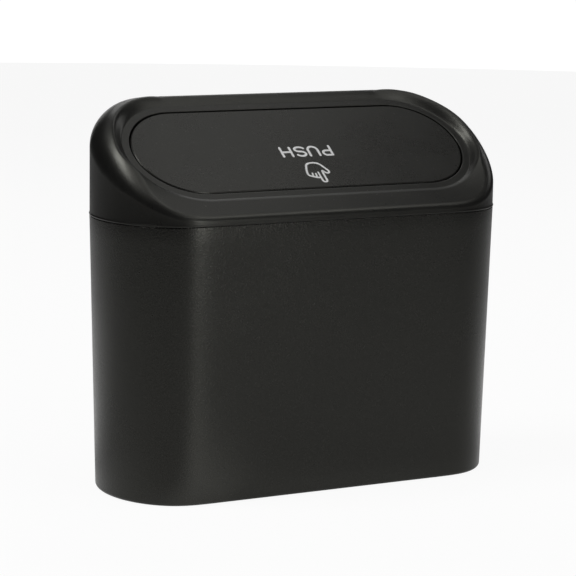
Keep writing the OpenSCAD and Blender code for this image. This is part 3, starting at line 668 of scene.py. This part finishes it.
# %% [markdown]
# ## Handling
# Hands polish the plastic in soft patches, hairline scratches cross it, edges rub paler in broken stretches,
# and specks of dust lie on what faces up. Pointiness finds the edges, because it is above a half where the
# surface bulges. Stretched noise gives the scratches. Every mask runs from 0 to 1 between the two levels of
# its band, and a finish takes as much of it as it needs.

# %% Group for polished patches, hairline scratches, rubbed edges and dust
polish_band, scratch_band, edge_band = (0.38, 0.66), (0.75, 0.79), (0.515, 0.56)
up_band, dust_band, broken_band = (0.35, 0.95), (0.66, 0.76), (0.3, 0.6, 0.35, 1.0)
masks = {"Polish": FLOAT, "Scratches": FLOAT, "Edge": FLOAT, "Dust": FLOAT}
wear, _, give = group("handling", {}, masks)
patch = add(wear, "ShaderNodeTexNoise", {"Scale": 38.0, "Detail": 4.0, "Roughness": 0.55, "Distortion": 0.6})
hair = add(wear, "ShaderNodeTexNoise", {"Scale": 60.0, "Detail": 2.0, "Roughness": 0.5})
speck = add(wear, "ShaderNodeTexNoise", {"Scale": 900.0, "Detail": 2.0, "Roughness": 0.7})
where = wear.nodes.new("ShaderNodeTexCoord").outputs["Object"]
stretched = add(wear, "ShaderNodeMapping", {"Rotation": (0.3, 0.5, 0.7), "Scale": (1.0, 26.0, 26.0)})
wear.links.new(where, stretched.inputs["Vector"])
for node, source in ((patch, where), (hair, stretched.outputs["Vector"]), (speck, where)):
    wear.links.new(source, node.inputs["Vector"])
surface = wear.nodes.new("ShaderNodeNewGeometry")
rub = spread(wear, surface.outputs["Pointiness"], *edge_band)
broken = spread(wear, speck.outputs["Fac"], *broken_band)
split = wear.nodes.new("ShaderNodeSeparateXYZ")
wear.links.new(surface.outputs["Normal"], split.inputs[0])
facing_up = spread(wear, split.outputs["Z"], *up_band)
specks = spread(wear, speck.outputs["Fac"], *dust_band)
results = {"Polish": spread(wear, patch.outputs["Fac"], *polish_band),
           "Scratches": spread(wear, hair.outputs["Fac"], *scratch_band),
           "Edge": arithmetic(wear, "MULTIPLY", rub, broken),
           "Dust": arithmetic(wear, "MULTIPLY", facing_up, specks)}
for label, value in results.items():
    wear.links.new(value, give.inputs[label])
print("shared effects:", [g.name for g in bpy.data.node_groups])

# %% [markdown]
# ## The finishes
# The cup is polypropylene with a coarse etched grain, so its highlight sparkles. The ring and the flap come
# from smoother tools, and shine like satin. All are coloured in the mass, so wear never shows another
# colour, only a paler, duller black. The mark is white ink with a soft gloss. The hidden latch parts are
# glass-filled and a little greyer, and the slider is a slippery, paler plastic. Pins, springs and screws are
# zinc-plated steel.

# %% Build the finishes
sheen, polish_share, scratch_gain = 0.06, 0.8, 0.04
highlight_tint, dust_colour = (1, 1, 0.9), (0.16, 0.155, 0.145)
wear_share, lightest = 0.5, 0.9


def finish(name, colour, roughness, cell, depth, metallic=0.0, edge_gain=2.4, vary=0.25):
    """One finish from the shared effects.

    Colour: the base less its variation where the relief is low, more where it is high; then rubbed edges in
    the base times edge_gain, and dust. Roughness: its base, plus relief, less polish, plus scratches.
    """
    material = bpy.data.materials.new(name)
    material.use_nodes = True
    tree = material.node_tree
    shader = tree.nodes["Principled BSDF"]
    shader.inputs["Metallic"].default_value = metallic
    shader.inputs["Specular Tint"].default_value = (*highlight_tint, 1)
    texture = add(tree, "ShaderNodeGroup", node_tree=grain)
    texture.inputs["Cell"].default_value = cell
    texture.inputs["Depth"].default_value = depth
    marks = add(tree, "ShaderNodeGroup", node_tree=wear)
    base = np.array(colour)
    tones = [(base * (1 + vary), texture.outputs["Relief"]),
             (np.minimum(base * edge_gain, lightest), marks.outputs["Edge"]),
             (dust_colour, marks.outputs["Dust"])]
    last = None
    for light, mask in tones:
        mix = add(tree, "ShaderNodeMix", data_type="RGBA")
        mix.inputs["B"].default_value = (*light, 1)
        if last is None:
            mix.inputs["A"].default_value = (*(base * (1 - vary)), 1)
            tree.links.new(mask, mix.inputs["Factor"])
        else:
            tree.links.new(last, mix.inputs["A"])
            tree.links.new(arithmetic(tree, "MULTIPLY", mask, wear_share), mix.inputs["Factor"])
        last = mix.outputs["Result"]
    tree.links.new(last, shader.inputs["Base Color"])
    rough = roughness - sheen / 2
    for operation, mask, gain in (("ADD", texture.outputs["Relief"], sheen),
                                  ("SUBTRACT", marks.outputs["Polish"], sheen * polish_share),
                                  ("ADD", marks.outputs["Scratches"], scratch_gain)):
        rough = arithmetic(tree, operation, rough, arithmetic(tree, "MULTIPLY", mask, gain))
    tree.links.new(rough, shader.inputs["Roughness"])
    tree.links.new(texture.outputs["Normal"], shader.inputs["Normal"])
    return material


recipes = {
    "body_plastic": dict(colour=(0.0135, 0.0133, 0.0127), roughness=0.27, cell=0.6, depth=0.10),
    "ring_plastic": dict(colour=(0.0120, 0.0118, 0.0114), roughness=0.34, cell=0.5, depth=0.03),
    "flap_plastic": dict(colour=(0.0120, 0.0118, 0.0112), roughness=0.32, cell=0.5, depth=0.03),
    "latch_plastic": dict(colour=(0.030, 0.030, 0.029), roughness=0.42, cell=0.5, depth=0.08),
    "slider_plastic": dict(colour=(0.46, 0.45, 0.42), roughness=0.38, cell=0.5, depth=0.05,
                           edge_gain=1.3, vary=0.08),
    "print_white": dict(colour=(0.92, 0.92, 0.92), roughness=0.45, cell=0.4, depth=0.04,
                        edge_gain=1.0, vary=0.04),
    "steel": dict(colour=(0.56, 0.565, 0.575), roughness=0.26, cell=0.35, depth=0.05,
                  metallic=1.0, edge_gain=1.25, vary=0.12),
}
finishes = {name: finish(name, **recipe) for name, recipe in recipes.items()}
steel_nodes = ("hinge_pin", "hinge_spring", "striker_screw", "latch_screw", "latch_spring", "latch_follower")
slots = {"bin_shell": "body_plastic", "ring_skin": "ring_plastic", "hinge_lugs": "ring_plastic",
         "latch_bracket": "ring_plastic", "snap_beads": "ring_plastic", "flap": "flap_plastic",
         "latch_slider": "slider_plastic", "push_mark": "print_white"}
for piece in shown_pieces():
    named = "steel" if piece.name.startswith(steel_nodes) else slots.get(piece.name, "latch_plastic")
    piece.data.materials.clear()
    piece.data.materials.append(finishes[named])
    print(piece.name, "->", named)

# %% [markdown]
# ## Floor and light
# The photograph is a studio cut-out: the ground is white and the object is nearly black, so its shape is
# told almost only by reflections. Floor, backdrop and room are white to the camera by light of their own.
# Diffuse surfaces get nothing from that light: it only shows to the camera, and in reflections in the share
# that each surface of the stage allows. The matt paint mixed with it keeps a part of the bin's shadow.

# %% A shader that is white for the camera
white_strength, matt_grey = 1.05, (0.86, 0.86, 0.86, 1)


def camera_white(tree, plain_shader, share, in_gloss=0.0, where_bright=None):
    """Mix a shader with white emission.

    The emission has this share for rays from the camera and in_gloss of it for reflections. where_bright is
    a mask that fades the reflected part over the surface.
    """
    path = tree.nodes.new("ShaderNodeLightPath")
    white = add(tree, "ShaderNodeEmission", {"Color": (1, 1, 1, 1), "Strength": white_strength})
    mix = tree.nodes.new("ShaderNodeMixShader")
    seen = arithmetic(tree, "MULTIPLY", path.outputs["Is Camera Ray"], share)
    mirrored = arithmetic(tree, "MULTIPLY", path.outputs["Is Glossy Ray"], in_gloss)
    if where_bright is not None:
        mirrored = arithmetic(tree, "MULTIPLY", mirrored, where_bright)
    tree.links.new(arithmetic(tree, "MAXIMUM", seen, mirrored), mix.inputs[0])
    tree.links.new(plain_shader, mix.inputs[1])
    tree.links.new(white.outputs[0], mix.inputs[2])
    return mix.outputs[0]


def stage_sheet(name, points, faces):
    """A sheet for the stage, and the empty node tree of its paint."""
    mesh = bpy.data.meshes.new(name)
    mesh.from_pydata(points, [], faces)
    sheet = bpy.data.objects.new(name, mesh)
    bpy.context.scene.collection.objects.link(sheet)
    paint = bpy.data.materials.new(name + "_paint")
    paint.use_nodes = True
    paint.node_tree.nodes.clear()
    mesh.materials.append(paint)
    return sheet, paint.node_tree


def paint_sheet(tree, share, in_gloss, where_bright=None):
    """Matt grey white under camera_white, joined to the paint's output."""
    matt = add(tree, "ShaderNodeBsdfDiffuse", {"Color": matt_grey})
    out = tree.nodes.new("ShaderNodeOutputMaterial")
    tree.links.new(camera_white(tree, matt.outputs[0], share, in_gloss, where_bright), out.inputs["Surface"])


# %% [markdown]
# ## The floor
# The glossy walls mirror the floor, and the photograph's walls aren't equally bright: they are darker in
# front, apart from one upright streak. So the floor's part in reflections has a mask of three pieces. A
# patch grows towards the back and fades with distance, a faint oval lies round the foot, and a narrow strip
# runs to the front, towards the tall lamp. Distances are in metres from the middle of the base.

# %% Make the floor
floor_half, floor_share, floor_gloss = 4.0, 0.88, 0.8
floor_corners = [(-floor_half, -floor_half, 0), (floor_half, -floor_half, 0), (floor_half, floor_half, 0),
                 (-floor_half, floor_half, 0)]
floor, tree = stage_sheet("floor", floor_corners, [(0, 1, 2, 3)])
floor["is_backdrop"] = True

away_from_camera, across_strip, oval_shape = (0.477, 0.879, 0), (0.985, 0.174, 0), (0.45, 1, 1)
patch_grows, patch_fades = (-0.02, 0.14), (0.08, 0.5, 1.0, 0.06)
strip_left, strip_fades, strip_ends = 0.062, (0.008, 0.04, 1.1, 0.0), (-0.08, -0.03, 1.0, 0.0)
oval_fades = (0.045, 0.08, 0.4, 0.0)
# The floor's glow is painted light, seen only in reflections. Its mask is a painted reflection that keeps the
# walls darker in front. The strip is a painted streak that stands for the tall lamp's reflection on the
# floor.
spot = tree.nodes.new("ShaderNodeTexCoord").outputs["Object"]
behind = vector_math(tree, "DOT_PRODUCT", spot, {1: away_from_camera}).outputs["Value"]
away = vector_math(tree, "LENGTH", spot).outputs["Value"]
across = vector_math(tree, "DOT_PRODUCT", spot, {1: across_strip}).outputs["Value"]
squeezed = vector_math(tree, "MULTIPLY", spot, {1: oval_shape}).outputs["Vector"]
beside = vector_math(tree, "LENGTH", squeezed).outputs["Value"]
grown, faded = spread(tree, behind, *patch_grows), spread(tree, away, *patch_fades)
painted_back_glow = arithmetic(tree, "MULTIPLY", grown, faded)
off_strip = arithmetic(tree, "ABSOLUTE", arithmetic(tree, "ADD", across, strip_left), 0)
near_strip, in_front = spread(tree, off_strip, *strip_fades), spread(tree, behind, *strip_ends)
painted_lamp_streak = arithmetic(tree, "MULTIPLY", near_strip, in_front)
painted_reflection_mask = arithmetic(tree, "MAXIMUM", painted_back_glow, painted_lamp_streak)
painted_reflection_mask = arithmetic(tree, "MAXIMUM", painted_reflection_mask, spread(tree, beside, *oval_fades))
# The mask limits the floor's white in reflections to the painted reflection.
paint_sheet(tree, floor_share, floor_gloss, painted_reflection_mask)
print("floor mask of", len(tree.nodes), "nodes")

# %% [markdown]
# ## The backdrop and the room
# A low curved screen stands far behind the bin, round the line of sight. It hides where the floor ends, and
# the bin's ends mirror it near the horizon. The room itself is almost dark, so the bin shows only the
# lamps, the floor and the screen.

# %% Make the backdrop and the room
backdrop_reach, backdrop_high, backdrop_share, backdrop_gloss, room_light = 2.4, 1.0, 1.0, 0.9, 0.015
sweep = np.radians(np.linspace(134, 176, 31))
foot_line = np.stack([backdrop_reach * np.sin(sweep), -backdrop_reach * np.cos(sweep)], axis=1)
low_edge = np.column_stack([foot_line, np.zeros(len(sweep))])
high_edge = np.column_stack([foot_line, np.full(len(sweep), backdrop_high)])
panels = [(k, k + 1, len(sweep) + k + 1, len(sweep) + k) for k in range(len(sweep) - 1)]
backdrop, tree = stage_sheet("backdrop", np.vstack([low_edge, high_edge]).tolist(), panels)
backdrop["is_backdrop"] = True
paint_sheet(tree, backdrop_share, backdrop_gloss)

world = bpy.data.worlds.new("world")
bpy.context.scene.world = world
world.use_nodes = True
tree = world.node_tree
tree.nodes.clear()
room = add(tree, "ShaderNodeBackground", {"Color": (1, 1, 1, 1), "Strength": room_light})
out = tree.nodes.new("ShaderNodeOutputWorld")
tree.links.new(camera_white(tree, room.outputs[0], 1.0), out.inputs["Surface"])
print("backdrop of", len(panels), "panels")

# %% [markdown]
# ## The lamps
# Each lamp is a soft box in the direction that some reflection in the photograph comes from. A tall strip at
# the front draws the upright streak where the flat side meets the left end, a long bank over the left draws
# the bright ridge of the ring, boxes to the right shape the front, and boxes behind light the slanted flap.
# The camera doesn't see the lamps themselves.

# %% Place the lamps
lamp_distance = 1.2
lamp_target = np.array([0, 0, 0.1])


def soft_box(name, azimuth, elevation, size, power):
    """A rectangular lamp at lamp_distance from its target. Azimuth 0 is the front, +90 the right end."""
    a, e = np.radians([azimuth, elevation])
    back = np.array([math.sin(a) * math.cos(e), -math.cos(a) * math.cos(e), math.sin(e)])
    sideways = np.array([math.cos(a), math.sin(a), 0])
    lamp = bpy.data.objects.new(name, bpy.data.lights.new(name, "AREA"))
    lamp.data.shape = "RECTANGLE"
    lamp.data.size, lamp.data.size_y = size
    lamp.data.energy = power
    frame_of_lamp = np.eye(4)
    frame_of_lamp[:3, 0], frame_of_lamp[:3, 1] = sideways, np.cross(back, sideways)
    frame_of_lamp[:3, 2], frame_of_lamp[:3, 3] = back, lamp_target + back * lamp_distance
    lamp.matrix_world = Matrix(frame_of_lamp.tolist())
    lamp.visible_camera = False
    bpy.context.scene.collection.objects.link(lamp)


# Name: azimuth and elevation in degrees, width and height in metres, power in watts.
lamps = {
    "strip_front": (11, 6, (0.09, 0.42), 1.6),
    "box_front_right": (33, 48, (0.35, 0.3), 0.95),
    "box_front": (6, 42, (0.3, 0.3), 0.45),
    "bank_left_high": (-62, 72, (0.45, 0.45), 1.0),
    "bank_left": (-98, 56, (0.42, 0.36), 4.0),
    "bank_left_back": (-150, 54, (0.5, 0.4), 0.2),
    "box_front_high": (25, 72, (0.45, 0.45), 0.5),
    "box_right": (55, 54, (0.4, 0.4), 0.4),
    "box_right_low": (105, 24, (0.4, 0.3), 0.35),
    "box_right_high": (85, 72, (0.5, 0.45), 0.6),
    "box_back_right": (140, 54, (0.5, 0.4), 0.5),
    "box_back": (160, 36, (0.6, 0.3), 1.0),
}
for name, values in lamps.items():
    soft_box(name, *values)
print("lamps:", len(bpy.data.lights))

# %% Print the two boxes and finish
bpy.context.scene.view_settings.view_transform = "Standard"
shown_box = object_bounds()
boxes = {"cad": [list(corner) for corner in cad_box], "shown": [list(corner) for corner in shown_box]}
for label, box in boxes.items():
    print(label, "box in mm", [[round(v / MM, 1) for v in corner] for corner in box])
